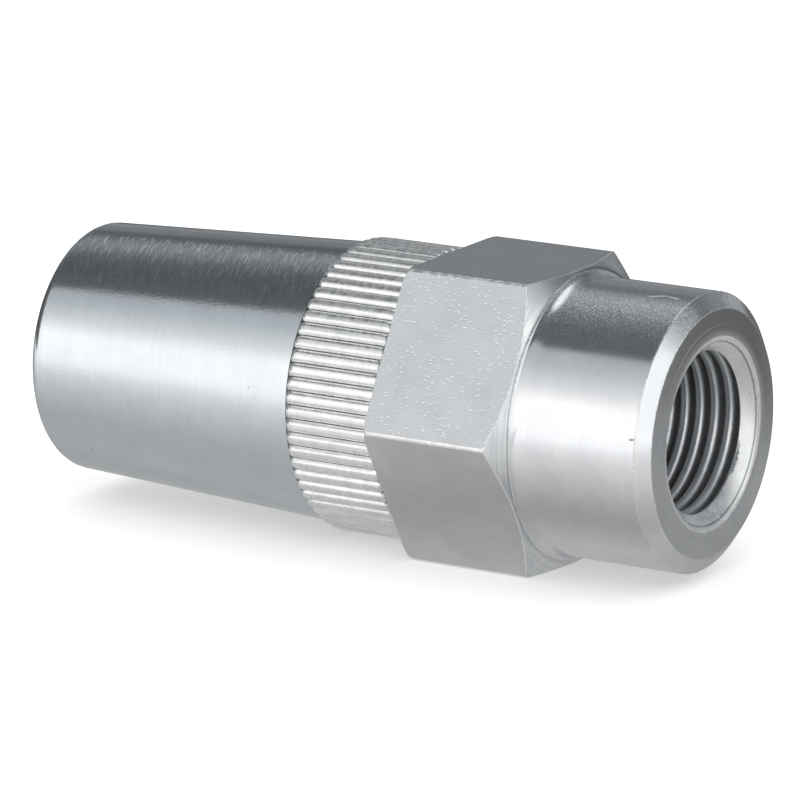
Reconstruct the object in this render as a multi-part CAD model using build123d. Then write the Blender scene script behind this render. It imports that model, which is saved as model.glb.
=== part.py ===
"""Grease coupler adapter: a threaded hexagon body carrying a four-jaw grease coupler.

Frame: the origin is the centre of the inlet mouth, +X runs along the axis and out of
the inlet thread, and +Z is the normal of the hexagon's upper flat. The nose that grips
the grease nipple points along -X. All sizes are in millimetres and degrees.
"""

from build123d import *
from math import cos, pi, radians, sin, sqrt, tan
import os

# Adapter body, outside
neck_diameter = 15.1
neck_length = 8.0
neck_bevel_length = 0.62
neck_bevel_depth = 0.83
neck_root_bevel = 0.25
hex_across_flats = 16.0
hex_length = 8.15
hex_bevel_angle = 30.0
hex_rear_break = 0.12

# Inlet thread G 1/8, drawn as its plain major diameter
inlet_thread_diameter = 9.73
inlet_thread_depth = 9.0
inlet_mouth_diameter = 9.95
drill_point_angle = 118.0
passage_diameter = 3.2
passage_length = 1.24

# Grease cylinder and spigot of the adapter body
cylinder_diameter = 9.2
cylinder_entry_bevel = 0.35
joint_thread_diameter = 13.0
joint_thread_length = 7.05
joint_thread_bevel = 0.5
thread_relief_width = 1.2
thread_relief_depth = 0.55
pilot_length = 3.05
pilot_bevel = 0.3

# Nose sleeve, outside
knurl_proud = 0.075
knurl_length = 5.65
knurl_depth = 0.3
knurl_ridges = 65
cone_rear_diameter = 15.48
nose_diameter = 13.88
nose_bevel = 0.3

# Nose sleeve, inside
taper_angle = 15.0
mouth_bevel = 0.35
thread_runout = 0.5

# Gripping jaws
jaw_count = 4
jaw_recess = 0.5
jaw_length = 8.0
jaw_tip_diameter = 8.2
jaw_rear_diameter = 10.3
jaw_slit = 0.6
jaw_stroke = 2.8
lip_diameter = 5.2
lip_length = 0.8
lip_entry_bevel = 0.4
lip_rear_angle = 60.0
jaw_bore_diameter = 6.9
jaw_rear_land = 0.9

# Spreader ring inside the jaws
spreader_wire = 0.7
spreader_groove_width = 1.0
spreader_groove_depth = 0.9
spreader_gap_angle = 30.0

# Packing and its washer
packing_diameter = 5.8
packing_length = 2.0
packing_proud = 0.5
packing_dish_depth = 0.6
packing_dish_diameter = 4.8
washer_thickness = 0.5

# Piston
cup_length = 3.1
flange_diameter = 10.8
flange_thickness = 1.5
skirt_length = 9.5
skirt_bevel = 0.25
flow_hole_diameter = 1.8
head_wall = 3.1
check_chamber_diameter = 3.8

# Piston seal
seal_groove_depth = 1.15
seal_land = 2.3
backup_ring_width = 0.8
seal_side_play = 0.05

# Check valve
valve_seat_diameter = 5.2
valve_seat_length = 2.5
valve_hole_diameter = 1.8
valve_cone_diameter = 3.0
check_ball_diameter = 3.0
check_spring_wire = 0.35
check_spring_diameter = 2.5
check_spring_coils = 5

# Main spring
main_spring_wire = 0.9
main_spring_clearance = 0.25
main_spring_coils = 4.75

# Sides of the section that stands for round wire and round seal section
section_sides = 8

# Clearances, each on the radius or along the axis
joint_thread_clearance = 0.03
pilot_clearance = 0.1
taper_clearance = 0.06
jaw_swing_clearance = 0.05
cup_clearance = 0.15
piston_clearance = 0.05
piston_stop_clearance = 0.15
seal_clearance = 0.02
spreader_clearance = 0.1
press_clearance = 0.01
washer_clearance = 0.05
ball_seat_clearance = 0.015
spring_end_clearance = 0.03

# Radii worked out from the sizes above
neck_radius = neck_diameter / 2
hex_corner_radius = hex_across_flats / sqrt(3)
knurl_radius = hex_across_flats / 2 + knurl_proud
knurl_root_radius = knurl_radius - knurl_depth
inlet_radius = inlet_thread_diameter / 2
passage_radius = passage_diameter / 2
cylinder_radius = cylinder_diameter / 2
joint_thread_radius = joint_thread_diameter / 2
spigot_radius = joint_thread_radius - joint_thread_clearance
jaw_tip_radius = jaw_tip_diameter / 2
jaw_rear_radius = jaw_rear_diameter / 2
jaw_bore_radius = jaw_bore_diameter / 2
lip_radius = lip_diameter / 2
taper_slope = tan(radians(taper_angle))
jaw_spread = jaw_stroke * taper_slope
chamber_radius = jaw_rear_radius + jaw_spread + jaw_swing_clearance
pilot_radius = chamber_radius - pilot_clearance
cup_radius = jaw_bore_radius - cup_clearance
packing_radius = packing_diameter / 2
skirt_radius = cylinder_radius - piston_clearance
seal_outer_radius = cylinder_radius - seal_clearance
seal_groove_radius = skirt_radius - seal_groove_depth
seal_inner_radius = seal_groove_radius + press_clearance
seal_section = seal_outer_radius - seal_inner_radius
valve_seat_radius = valve_seat_diameter / 2
ball_radius = check_ball_diameter / 2

# Stations along X, from the inlet mouth to the nose
x_hex_front = -neck_length
x_shoulder = x_hex_front - hex_length
drill_point_depth = (inlet_radius - passage_radius) / tan(radians(drill_point_angle / 2))
x_drill_point = -inlet_thread_depth - drill_point_depth
x_cylinder_floor = x_drill_point - passage_length
x_spigot_thread_end = x_shoulder - joint_thread_length
x_spigot_front = x_spigot_thread_end - pilot_length
x_flange_rear = x_spigot_front - piston_stop_clearance - jaw_stroke
x_flange_front = x_flange_rear - flange_thickness
x_jaw_rear = x_flange_front
x_jaw_tip = x_jaw_rear - jaw_length
x_nose = x_jaw_tip - jaw_recess
x_cup_front = x_flange_front - cup_length
x_packing_front = x_cup_front - packing_proud
x_packing_rear = x_packing_front + packing_length
x_cup_floor = x_packing_rear + washer_thickness
x_check_chamber = x_cup_floor + head_wall
x_piston_rear = x_flange_rear + skirt_length
x_valve_seat = x_piston_rear - valve_seat_length
seal_groove_width = seal_section + backup_ring_width + 3 * seal_side_play
x_seal_groove_rear = x_piston_rear - seal_land
x_seal_groove_front = x_seal_groove_rear - seal_groove_width
x_spreader = x_jaw_rear - jaw_rear_land - spreader_groove_width / 2
x_knurl_front = x_shoulder - knurl_length

# Outline of one knurl ridge: share of the ridge spacing, share of the ridge height
ridge_outline = ((0.0, 0.0), (0.24, 0.75), (0.5, 1.0), (0.76, 0.75))


def turned(points):
    """Solid turned about the X axis from a closed outline of (x, radius) points."""
    return revolve(make_face(Polyline(*points, close=True)), Axis.X)


def ring(x_start, x_end, inner_radius, outer_radius):
    """Plain ring of rectangular section on the axis."""
    return turned([
        (x_start, inner_radius),
        (x_end, inner_radius),
        (x_end, outer_radius),
        (x_start, outer_radius),
    ])


def wire_ring(x, mean_radius, wire, arc=360.0):
    """Ring of round wire about the axis, open where the arc is less than a full turn."""
    section = Pos(x, mean_radius) * RegularPolygon(wire / 2, section_sides)
    return revolve(section, Axis.X, arc)


def coil(x_start, x_end, wire, mean_diameter, coils):
    """Open compression spring that fills the stretch from x_start to x_end."""
    rise = x_end - x_start - wire
    path = Helix(
        pitch=rise / coils,
        height=rise,
        radius=mean_diameter / 2,
        center=(x_start + wire / 2, 0, 0),
        direction=(1, 0, 0),
    )
    section = Plane(origin=path @ 0, z_dir=path % 0) * RegularPolygon(wire / 2, section_sides)
    return sweep(section, path=path, is_frenet=True)


def hexagon():
    """Wrench hexagon, flats up and down, with a turned bevel on the neck side."""
    prism = Plane.YZ.offset(x_shoulder) * RegularPolygon(
        hex_across_flats / 2, 6, major_radius=False, rotation=0
    )
    prism = extrude(prism, hex_length)
    rim = hex_corner_radius + 1
    bevel_start = hex_across_flats / 2
    bevel_drop = (rim - bevel_start) * tan(radians(hex_bevel_angle))
    envelope = turned([
        (x_shoulder, 0),
        (x_shoulder, hex_corner_radius - hex_rear_break),
        (x_shoulder + hex_rear_break + 1, rim),
        (x_hex_front - bevel_drop, rim),
        (x_hex_front, bevel_start),
        (x_hex_front, 0),
    ])
    return prism & envelope


def neck():
    """Turned neck round the inlet, with a bevelled end and a small bevel at its root."""
    return turned([
        (x_hex_front, 0),
        (x_hex_front, neck_radius + neck_root_bevel),
        (x_hex_front + neck_root_bevel, neck_radius),
        (-neck_bevel_length, neck_radius),
        (0, neck_radius - neck_bevel_depth),
        (0, 0),
    ])


def spigot():
    """Spigot that screws into the sleeve: relief groove, thread and plain pilot."""
    relief_radius = spigot_radius - thread_relief_depth
    relief_front = x_shoulder - thread_relief_width
    thread_front = x_spigot_thread_end
    pilot_front = x_spigot_front
    bevel = joint_thread_bevel
    return turned([
        (x_shoulder, 0),
        (x_shoulder, relief_radius),
        (relief_front, relief_radius),
        (relief_front - thread_relief_depth, spigot_radius),
        (thread_front + bevel, spigot_radius),
        (thread_front, spigot_radius - bevel),
        (thread_front, pilot_radius),
        (pilot_front + pilot_bevel, pilot_radius),
        (pilot_front, pilot_radius - pilot_bevel),
        (pilot_front, 0),
    ])


def adapter_bore():
    """Inlet, drilled passage and grease cylinder, as one turned cutter."""
    mouth_radius = inlet_mouth_diameter / 2
    countersink = mouth_radius - inlet_radius
    return turned([
        (1, 0),
        (1, mouth_radius + 1),
        (-countersink, inlet_radius),
        (-inlet_thread_depth, inlet_radius),
        (x_drill_point, passage_radius),
        (x_cylinder_floor, passage_radius),
        (x_cylinder_floor, cylinder_radius),
        (x_spigot_front + cylinder_entry_bevel, cylinder_radius),
        (x_spigot_front, cylinder_radius + cylinder_entry_bevel),
        (x_spigot_front - 1, cylinder_radius + cylinder_entry_bevel),
        (x_spigot_front - 1, 0),
    ])


def adapter_body():
    """Body with the inlet thread at one end and the grease cylinder at the other."""
    return neck() + hexagon() + spigot() - adapter_bore()


def taper_radius(x):
    """Radius of the sleeve's closing taper at a station on the axis."""
    return jaw_tip_radius + taper_clearance + (x - x_jaw_tip) * taper_slope


def knurled_band():
    """Straight ridges round the rear of the sleeve, bevelled down to their roots at both ends."""
    outline = []
    for ridge in range(knurl_ridges):
        for along, height in ridge_outline:
            angle = 2 * pi * (ridge + along) / knurl_ridges
            radius = knurl_root_radius + height * knurl_depth
            outline.append((radius * cos(angle), radius * sin(angle)))
    section = Plane.YZ.offset(x_knurl_front) * make_face(Polyline(*outline, close=True))
    envelope = turned([
        (x_knurl_front, 0),
        (x_knurl_front, knurl_root_radius),
        (x_knurl_front + knurl_depth, knurl_radius),
        (x_shoulder - knurl_depth, knurl_radius),
        (x_shoulder, knurl_root_radius),
        (x_shoulder, 0),
    ])
    return extrude(section, knurl_length) & envelope


def sleeve_bore():
    """Mouth, closing taper, jaw chamber and joining thread of the sleeve, as one turned cutter."""
    x_chamber = x_jaw_tip + (chamber_radius - jaw_tip_radius - taper_clearance) / taper_slope
    x_thread_end = x_spigot_thread_end - thread_runout
    entry = joint_thread_bevel
    return turned([
        (x_nose - 1, 0),
        (x_nose - 1, taper_radius(x_nose) + mouth_bevel),
        (x_nose, taper_radius(x_nose) + mouth_bevel),
        (x_nose + mouth_bevel, taper_radius(x_nose + mouth_bevel)),
        (x_chamber, chamber_radius),
        (x_thread_end, chamber_radius),
        (x_thread_end, joint_thread_radius),
        (x_shoulder - entry, joint_thread_radius),
        (x_shoulder, joint_thread_radius + entry),
        (x_shoulder + 1, joint_thread_radius + entry),
        (x_shoulder + 1, 0),
    ])


def nose_sleeve():
    """Tapered sleeve with a knurled band, which closes the jaws as they move forward."""
    cone = turned([
        (x_nose, 0),
        (x_nose, nose_diameter / 2 - nose_bevel),
        (x_nose + nose_bevel, nose_diameter / 2),
        (x_knurl_front, cone_rear_diameter / 2),
        (x_knurl_front, 0),
    ])
    return cone + knurled_band() - sleeve_bore()


def jaw_ring():
    """The jaws before they are slit apart: outside taper, lip, bore and ring groove."""
    x_taper_end = x_jaw_tip + (jaw_rear_radius - jaw_tip_radius) / taper_slope
    x_lip_front = x_jaw_tip + lip_entry_bevel
    x_lip_rear = x_lip_front + lip_length
    x_bore = x_lip_rear + (jaw_bore_radius - lip_radius) / tan(radians(lip_rear_angle))
    groove_rear = x_jaw_rear - jaw_rear_land
    groove_front = groove_rear - spreader_groove_width
    groove_radius = jaw_bore_radius + spreader_groove_depth
    return turned([
        (x_jaw_tip, lip_radius + lip_entry_bevel),
        (x_jaw_tip, jaw_tip_radius),
        (x_taper_end, jaw_rear_radius),
        (x_jaw_rear, jaw_rear_radius),
        (x_jaw_rear, jaw_bore_radius),
        (groove_rear, jaw_bore_radius),
        (groove_rear, groove_radius),
        (groove_front, groove_radius),
        (groove_front, jaw_bore_radius),
        (x_bore, jaw_bore_radius),
        (x_lip_rear, lip_radius),
        (x_lip_front, lip_radius),
    ])


def gripping_jaw(index):
    """One jaw: the sector of the jaw ring between two slits."""
    share = 360 / jaw_count
    middle = share * (index + 0.5)
    half = radians(share / 2)
    apex = jaw_slit / 2 / sin(half)
    reach = 2 * jaw_rear_radius
    sector = Polyline(
        (apex, 0),
        (apex + reach, reach * tan(half)),
        (apex + reach, -reach * tan(half)),
        close=True,
    )
    wedge = Plane.YZ.offset(x_jaw_tip) * (Rot(0, 0, middle) * make_face(sector))
    return jaw_ring() & extrude(wedge, jaw_length)


def jaw_spreader_ring():
    """Open wire ring in the jaws' inner groove that pushes them out against the taper."""
    mean_radius = jaw_bore_radius + spreader_groove_depth - spreader_clearance - spreader_wire / 2
    winding = wire_ring(x_spreader, mean_radius, spreader_wire, 360 - spreader_gap_angle)
    return Rot(spreader_gap_angle / 2, 0, 0) * winding


def nipple_packing():
    """Soft packing whose dished face seals on the round head of the nipple."""
    hole_radius = flow_hole_diameter / 2
    return turned([
        (x_packing_front + packing_dish_depth, hole_radius),
        (x_packing_front, packing_dish_diameter / 2),
        (x_packing_front, packing_radius - press_clearance),
        (x_packing_rear, packing_radius - press_clearance),
        (x_packing_rear, hole_radius),
    ])


def packing_washer():
    """Thin washer that backs the packing in the piston's cup."""
    return ring(x_packing_rear, x_cup_floor, flow_hole_diameter / 2, packing_radius - washer_clearance)


def piston():
    """Piston: packing cup, flange behind the jaws, sealed skirt and check valve chamber."""
    outside = turned([
        (x_cup_front, 0),
        (x_cup_front, cup_radius),
        (x_flange_front, cup_radius),
        (x_flange_front, flange_diameter / 2),
        (x_flange_rear, flange_diameter / 2),
        (x_flange_rear, skirt_radius),
        (x_seal_groove_front, skirt_radius),
        (x_seal_groove_front, seal_groove_radius),
        (x_seal_groove_rear, seal_groove_radius),
        (x_seal_groove_rear, skirt_radius),
        (x_piston_rear - skirt_bevel, skirt_radius),
        (x_piston_rear, skirt_radius - skirt_bevel),
        (x_piston_rear, 0),
    ])
    inside = turned([
        (x_cup_front - 1, 0),
        (x_cup_front - 1, packing_radius),
        (x_cup_floor, packing_radius),
        (x_cup_floor, flow_hole_diameter / 2),
        (x_check_chamber, flow_hole_diameter / 2),
        (x_check_chamber, check_chamber_diameter / 2),
        (x_valve_seat, check_chamber_diameter / 2),
        (x_valve_seat, valve_seat_radius + press_clearance),
        (x_piston_rear + 1, valve_seat_radius + press_clearance),
        (x_piston_rear + 1, 0),
    ])
    return outside - inside


def piston_o_ring():
    """Seal on the pressure side of the piston's groove."""
    x_centre = x_seal_groove_rear - seal_side_play - seal_section / 2
    mean_radius = (seal_inner_radius + seal_outer_radius) / 2
    return wire_ring(x_centre, mean_radius, seal_section)


def piston_backup_ring():
    """Hard ring in front of the seal that keeps it out of the running gap."""
    x_start = x_seal_groove_front + seal_side_play
    return ring(x_start, x_start + backup_ring_width, seal_inner_radius, seal_outer_radius)


def valve_seat():
    """Pressed insert in the rear of the piston with the cone that the ball seals on."""
    hole_radius = valve_hole_diameter / 2
    cone_radius = valve_cone_diameter / 2
    return turned([
        (x_valve_seat, cone_radius),
        (x_valve_seat, valve_seat_radius),
        (x_piston_rear, valve_seat_radius),
        (x_piston_rear, hole_radius),
        (x_valve_seat + cone_radius - hole_radius, hole_radius),
    ])


def ball_centre():
    """Station of the ball on the 45 degree cone of its seat."""
    cone_apex = x_valve_seat + valve_cone_diameter / 2
    return cone_apex - (ball_radius + ball_seat_clearance) * sqrt(2)


def check_ball():
    """Ball that lets grease forward and holds it back."""
    return Pos(ball_centre(), 0, 0) * Sphere(ball_radius)


def check_spring():
    """Light spring between the piston's head wall and the ball."""
    mean_radius = check_spring_diameter / 2
    reach = ball_radius + check_spring_wire / 2 + spring_end_clearance
    x_end = ball_centre() - sqrt(reach**2 - mean_radius**2) + check_spring_wire / 2
    x_start = x_check_chamber + spring_end_clearance
    return coil(x_start, x_end, check_spring_wire, check_spring_diameter, check_spring_coils)


def main_spring():
    """Spring between the cylinder floor and the piston that drives the jaws forward."""
    x_start = x_piston_rear + spring_end_clearance
    x_end = x_cylinder_floor - spring_end_clearance
    mean_diameter = cylinder_diameter - 2 * main_spring_clearance - main_spring_wire
    return coil(x_start, x_end, main_spring_wire, mean_diameter, main_spring_coils)


pieces = {
    "adapter_body": adapter_body(),
    "nose_sleeve": nose_sleeve(),
    "jaw_spreader_ring": jaw_spreader_ring(),
    "nipple_packing": nipple_packing(),
    "packing_washer": packing_washer(),
    "piston": piston(),
    "piston_o_ring": piston_o_ring(),
    "piston_backup_ring": piston_backup_ring(),
    "valve_seat": valve_seat(),
    "check_ball": check_ball(),
    "check_spring": check_spring(),
    "main_spring": main_spring(),
}
for jaw_index in range(jaw_count):
    pieces[f"gripping_jaw_{jaw_index + 1}"] = gripping_jaw(jaw_index)

os.makedirs("parts", exist_ok=True)
for name, piece in pieces.items():
    export_step(piece, f"parts/{name}.step")
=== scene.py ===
"""Dressed model of the grease coupler adapter: fine shapes, plated finishes and a plain studio.

The frame is the CAD frame: the origin is the centre of the inlet mouth, +X runs out of the
inlet thread, +Z is the normal of the hexagon's upper flat. Sizes in the classes are in
millimetres and angles in degrees. Blender gets metres and radians.
"""

import logging
from dataclasses import dataclass
from enum import Enum
from functools import partial
from math import cos, pi, radians, sin, sqrt, tan
from typing import Callable, Mapping, Sequence

import bpy
from mathutils import Matrix, Vector


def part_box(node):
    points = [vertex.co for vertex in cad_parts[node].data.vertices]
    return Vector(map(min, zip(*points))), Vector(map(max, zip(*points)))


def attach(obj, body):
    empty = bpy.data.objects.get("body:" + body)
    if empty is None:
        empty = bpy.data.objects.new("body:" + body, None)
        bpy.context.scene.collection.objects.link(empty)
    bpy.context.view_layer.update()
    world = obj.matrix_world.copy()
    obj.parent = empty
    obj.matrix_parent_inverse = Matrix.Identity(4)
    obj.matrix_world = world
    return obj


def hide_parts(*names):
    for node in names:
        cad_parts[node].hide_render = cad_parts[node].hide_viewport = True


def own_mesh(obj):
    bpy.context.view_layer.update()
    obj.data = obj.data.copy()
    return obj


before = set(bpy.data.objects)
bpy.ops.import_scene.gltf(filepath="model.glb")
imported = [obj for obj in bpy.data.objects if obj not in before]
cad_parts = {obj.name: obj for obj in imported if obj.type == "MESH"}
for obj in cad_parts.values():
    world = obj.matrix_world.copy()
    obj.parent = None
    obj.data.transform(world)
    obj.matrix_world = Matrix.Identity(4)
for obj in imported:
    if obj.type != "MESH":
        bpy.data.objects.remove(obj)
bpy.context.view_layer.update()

LOG = logging.getLogger("grease_coupler_adapter")
MM = 0.001

Point = tuple[float, float]
Size = tuple[float, float, float]
Place = Callable[[Vector], bool]
Adder = Callable[..., bpy.types.Node]

# Settings that many nodes share: a mix of colours, a soft change, and coordinates counted in
# cells of a size
RGBA = {"data_type": "RGBA"}
EASED = {"interpolation_type": "SMOOTHSTEP"}
IN_CELLS = {"vector_type": "TEXTURE"}

# Noise lies mostly in this span
ALL_NOISE = (0.3, 0.7)


class Body(Enum):
    """Moving bodies of the coupler, as the record names them."""

    SLEEVE = "sleeve"
    ADAPTER = "adapter"
    PISTON = "piston"
    SPRING_END = "spring_end"


def linear(colour: str, level: float = 1.0) -> tuple[float, float, float, float]:
    """Turns an sRGB hex colour into a linear colour.

    Args:
        colour: Colour written as "#rrggbb".
        level: Factor on the linear colour.

    Returns:
        Linear red, green, blue and an alpha of 1.
    """
    channels = []
    for start in (1, 3, 5):
        value = int(colour[start:start + 2], 16) / 255
        value = value / 12.92 if value <= 0.04045 else ((value + 0.055) / 1.055) ** 2.4
        channels.append(value * level)
    return (*channels, 1.0)


def grey(level: float) -> tuple[float, float, float, float]:
    """Gives the linear grey of a level, which may be over 1 for light."""
    return (level, level, level, 1.0)


def add_node(
    tree: bpy.types.NodeTree,
    kind: str,
    inputs: Mapping[int | str, object] | None = None,
    **settings: object,
) -> bpy.types.Node:
    """Adds a node with its settings, its values and its links.

    Args:
        tree: Node tree that gets the node.
        kind: Node type without its "ShaderNode" prefix.
        inputs: Socket name or number to a value, or to the output socket or the node that
            feeds it. A node feeds it by its first output in use.
        settings: Properties of the node itself.

    Returns:
        The new node.
    """
    made = tree.nodes.new("ShaderNode" + kind)
    for name, value in settings.items():
        setattr(made, name, value)
    for name, value in (inputs or {}).items():
        if isinstance(value, bpy.types.Node):
            value = next(output for output in value.outputs if output.enabled)
        if isinstance(value, bpy.types.NodeSocket):
            tree.links.new(value, made.inputs[name])
        else:
            made.inputs[name].default_value = value
    return made


# Modelling by operators


def choose(part: bpy.types.Object) -> None:
    """Makes a piece the active one and the only one selected.

    Args:
        part: Piece.
    """
    bpy.ops.object.select_all(action="DESELECT")
    part.select_set(True)
    bpy.context.view_layer.objects.active = part


def start_edit(part: bpy.types.Object) -> None:
    """Opens a piece in edit mode with none of its vertices selected.

    Args:
        part: Piece.
    """
    choose(part)
    bpy.ops.object.mode_set(mode="EDIT")
    bpy.ops.mesh.select_mode(type="VERT")
    bpy.ops.mesh.select_all(action="DESELECT")


def end_edit() -> None:
    """Leaves edit mode."""
    bpy.ops.object.mode_set(mode="OBJECT")


def pick(part: bpy.types.Object, wanted: Place) -> None:
    """Selects the vertices of the piece in edit mode that lie where wanted says.

    Args:
        part: Piece in edit mode.
        wanted: Says for a place in millimetres whether it is picked.
    """
    bpy.ops.mesh.select_all(action="DESELECT")
    bpy.ops.object.mode_set(mode="OBJECT")
    for vertex in part.data.vertices:
        vertex.select = wanted(vertex.co / MM)
    bpy.ops.object.mode_set(mode="EDIT")
    bpy.ops.mesh.select_mode(type="VERT")


def name_piece(name: str) -> bpy.types.Object:
    """Gives the newest primitive its name and a mesh name to match.

    Args:
        name: Name of the piece.

    Returns:
        The piece.
    """
    part = bpy.context.object
    part.name = name
    part.data.name = name
    return part


def settle(part: bpy.types.Object) -> None:
    """Puts a piece's place into its mesh, so that its object sits at the origin."""
    choose(part)
    bpy.ops.object.transform_apply(location=True, rotation=True, scale=True)


def apply_modifier(part: bpy.types.Object, kind: str, **settings: object) -> None:
    """Adds a modifier with its settings and applies it.

    Args:
        part: Piece that is changed.
        kind: Modifier type.
        settings: Properties of the modifier.
    """
    choose(part)
    added = part.modifiers.new(kind.title(), kind)
    for name, value in settings.items():
        setattr(added, name, value)
    bpy.ops.object.modifier_apply(modifier=added.name)


def outward(part: bpy.types.Object) -> None:
    """Merges doubles and turns all faces of a piece outwards.

    Args:
        part: Closed piece.
    """
    start_edit(part)
    bpy.ops.mesh.select_all(action="SELECT")
    bpy.ops.mesh.remove_doubles(threshold=0.0002 * MM)
    bpy.ops.mesh.normals_make_consistent(inside=False)
    end_edit()


def smooth(part: bpy.types.Object, angle: float) -> None:
    """Shades a piece smooth up to an angle in degrees between its faces."""
    choose(part)
    bpy.ops.object.shade_smooth_by_angle(angle=radians(angle))


def soften(
    part: bpy.types.Object, width: float, angle: float = 24.0, segments: int = 2, finish: int = -1
) -> None:
    """Rounds the edges of a piece that are sharper than an angle, and shades it smooth.

    The faces beside a rounding keep their own normals, so that flats stay flat.

    Args:
        part: Piece with sharp edges.
        width: Width of the rounding in millimetres.
        angle: Least angle in degrees that is rounded.
        segments: Faces across the rounding.
        finish: Number of the material slot that the rounding gets, or -1 for its neighbours'.
    """
    choose(part)
    bpy.ops.object.shade_smooth()
    apply_modifier(
        part, "BEVEL", width=width * MM, segments=segments, limit_method="ANGLE",
        angle_limit=radians(angle), use_clamp_overlap=True, harden_normals=True, material=finish,
    )


def cut(part: bpy.types.Object, other: bpy.types.Object, operation: str) -> None:
    """Combines a piece with another by a boolean, and deletes the other.

    Args:
        part: Piece that is changed.
        other: Piece that is used up.
        operation: "INTERSECT" or "DIFFERENCE".
    """
    apply_modifier(part, "BOOLEAN", object=other, operation=operation, solver="EXACT")
    bpy.data.objects.remove(other)


def trace(name: str, corners: Sequence[Size]) -> bpy.types.Object:
    """Draws a chain of edges: a plane merged to one vertex, which is extruded on and on.

    Args:
        name: Name of the piece.
        corners: Corners of the chain in millimetres.

    Returns:
        The piece, in edit mode.
    """
    bpy.ops.object.select_all(action="DESELECT")
    bpy.ops.mesh.primitive_plane_add(size=MM)
    part = name_piece(name)
    start_edit(part)
    bpy.ops.mesh.select_all(action="SELECT")
    bpy.ops.mesh.merge(type="CENTER")
    bpy.ops.transform.translate(value=tuple(side * MM for side in corners[0]))
    for before, after in zip(corners, corners[1:]):
        step = tuple((end - start) * MM for start, end in zip(before, after))
        bpy.ops.mesh.extrude_vertices_move(TRANSFORM_OT_translate={"value": step})
    return part


def lathe(name: str, outline: Sequence[Point], segments: int) -> bpy.types.Object:
    """Turns a closed outline about the X axis.

    Args:
        name: Name of the piece.
        outline: Corners as (x, radius) in millimetres.
        segments: Steps round the axis.

    Returns:
        The turned piece, closed, with its faces outwards.
    """
    corners = [(x, 0.0, radius) for x, radius in outline]
    part = trace(name, corners)
    ends = (Vector(corners[0]), Vector(corners[-1]))
    pick(part, lambda at: any((at - end).length < 0.001 for end in ends))
    bpy.ops.mesh.edge_face_add()
    bpy.ops.mesh.select_all(action="SELECT")
    bpy.ops.mesh.spin(steps=segments, angle=2 * pi, center=(0, 0, 0), axis=(1, 0, 0))
    end_edit()
    outward(part)
    return part


def helix_ridge(
    name: str, section: Sequence[Point], pitch: float, start: float, turns: int, segments: int
) -> bpy.types.Object:
    """Sweeps a closed section along a right-hand helix about the X axis.

    Args:
        name: Name of the piece.
        section: Corners as (x from the middle of the ridge, radius) in millimetres.
        pitch: Rise of one turn in millimetres.
        start: X of the section's middle where the helix crosses +Y first, in millimetres.
        turns: Turns of the helix.
        segments: Steps in one turn.

    Returns:
        The swept piece with closed ends.
    """
    part = trace(name, [(start + x, radius, 0.0) for x, radius in section])
    bpy.ops.mesh.select_all(action="SELECT")
    bpy.ops.mesh.edge_face_add()
    end_edit()
    apply_modifier(
        part, "SCREW", axis="X", angle=2 * pi, screw_offset=pitch * MM, iterations=turns,
        steps=segments, render_steps=segments, use_merge_vertices=False, use_normal_calculate=True,
    )
    outward(part)
    return part


def coat(part: bpy.types.Object, *finishes: bpy.types.Material) -> None:
    """Puts finishes on a piece.

    Args:
        part: Piece.
        finishes: Materials in the order of the piece's slots.
    """
    part.data.materials.clear()
    for finish in finishes:
        part.data.materials.append(finish)


def dress(part: bpy.types.Object, body: Body) -> None:
    """Lets a finished piece ride on its body.

    Args:
        part: Finished piece.
        body: Body that carries it.
    """
    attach(part, body.value)
    LOG.info("piece %s: %d faces on %s", part.name, len(part.data.polygons), body.value)


def paint(part: bpy.types.Object, number: int, wanted: Callable[[Vector, Vector], bool]) -> None:
    """Gives faces another of the piece's materials by their place and normal.

    Args:
        part: Piece with several materials.
        number: Number of the material slot.
        wanted: Says for a face's middle in millimetres and its normal whether it is meant.
    """
    for face in part.data.polygons:
        if wanted(face.center / MM, face.normal):
            face.material_index = number


# Finishes


def start_finish(name: str) -> tuple[bpy.types.Material, Adder, bpy.types.Node]:
    """Makes a material whose tree holds only the piece's own coordinates in millimetres.

    Args:
        name: Name of the material.

    Returns:
        The material, what adds a node to it, and the node that gives the coordinates.
    """
    made = bpy.data.materials.new(name)
    made.use_nodes = True
    made.node_tree.nodes.clear()
    add = partial(add_node, made.node_tree)
    metres = add("TexCoord").outputs["Object"]
    return made, add, add("VectorMath", {0: metres, "Scale": 1 / MM}, operation="SCALE")


def end_finish(
    add: Adder, tint: bpy.types.Node, metal: bpy.types.Node | float,
    haze: bpy.types.Node | float, relief: bpy.types.Node,
) -> None:
    """Gives a material its surface.

    Args:
        add: Adds a node to the material.
        tint: Colour.
        metal: Share that mirrors as bare metal.
        haze: Roughness.
        relief: Normal.
    """
    surface = {"Base Color": tint, "Metallic": metal, "Roughness": haze, "Normal": relief}
    add("OutputMaterial", {0: add("BsdfPrincipled", surface)})


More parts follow.
